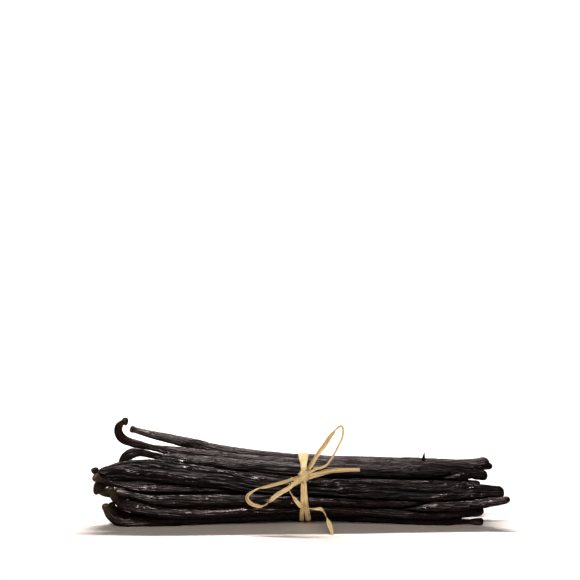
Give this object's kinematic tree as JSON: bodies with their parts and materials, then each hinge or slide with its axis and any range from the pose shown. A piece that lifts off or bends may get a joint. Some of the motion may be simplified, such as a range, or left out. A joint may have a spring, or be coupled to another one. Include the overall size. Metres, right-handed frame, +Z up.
{
  "type": "bundle of vanilla pods",
  "caption": "Bundle of long dark cured vanilla pods lying on its side, with hooked stem ends and blunt tips, tied round the middle with a pale raffia bow.",
  "frame": {"origin": "under the middle of the bundle, on the surface it lies on, measured without the bow's loops and front tail", "axes": "+X along the pods from the stem ends to the blossom ends, +Y away from the bow, +Z up"},
  "size_m": [0.1774, 0.0538, 0.0442],
  "materials": {
    "pod_skin": "oily, finely wrinkled lengthwise, soft sheen",
    "raffia": "dry plant fibre, lengthwise ridges, faint satin sheen"
  },
  "bodies": {
    "root": {"pods": "pod_skin", "raffia_wrap": "raffia", "raffia_left_loop": "raffia", "raffia_right_loop": "raffia", "raffia_front_tail": "raffia"}
  },
  "joints": []
}
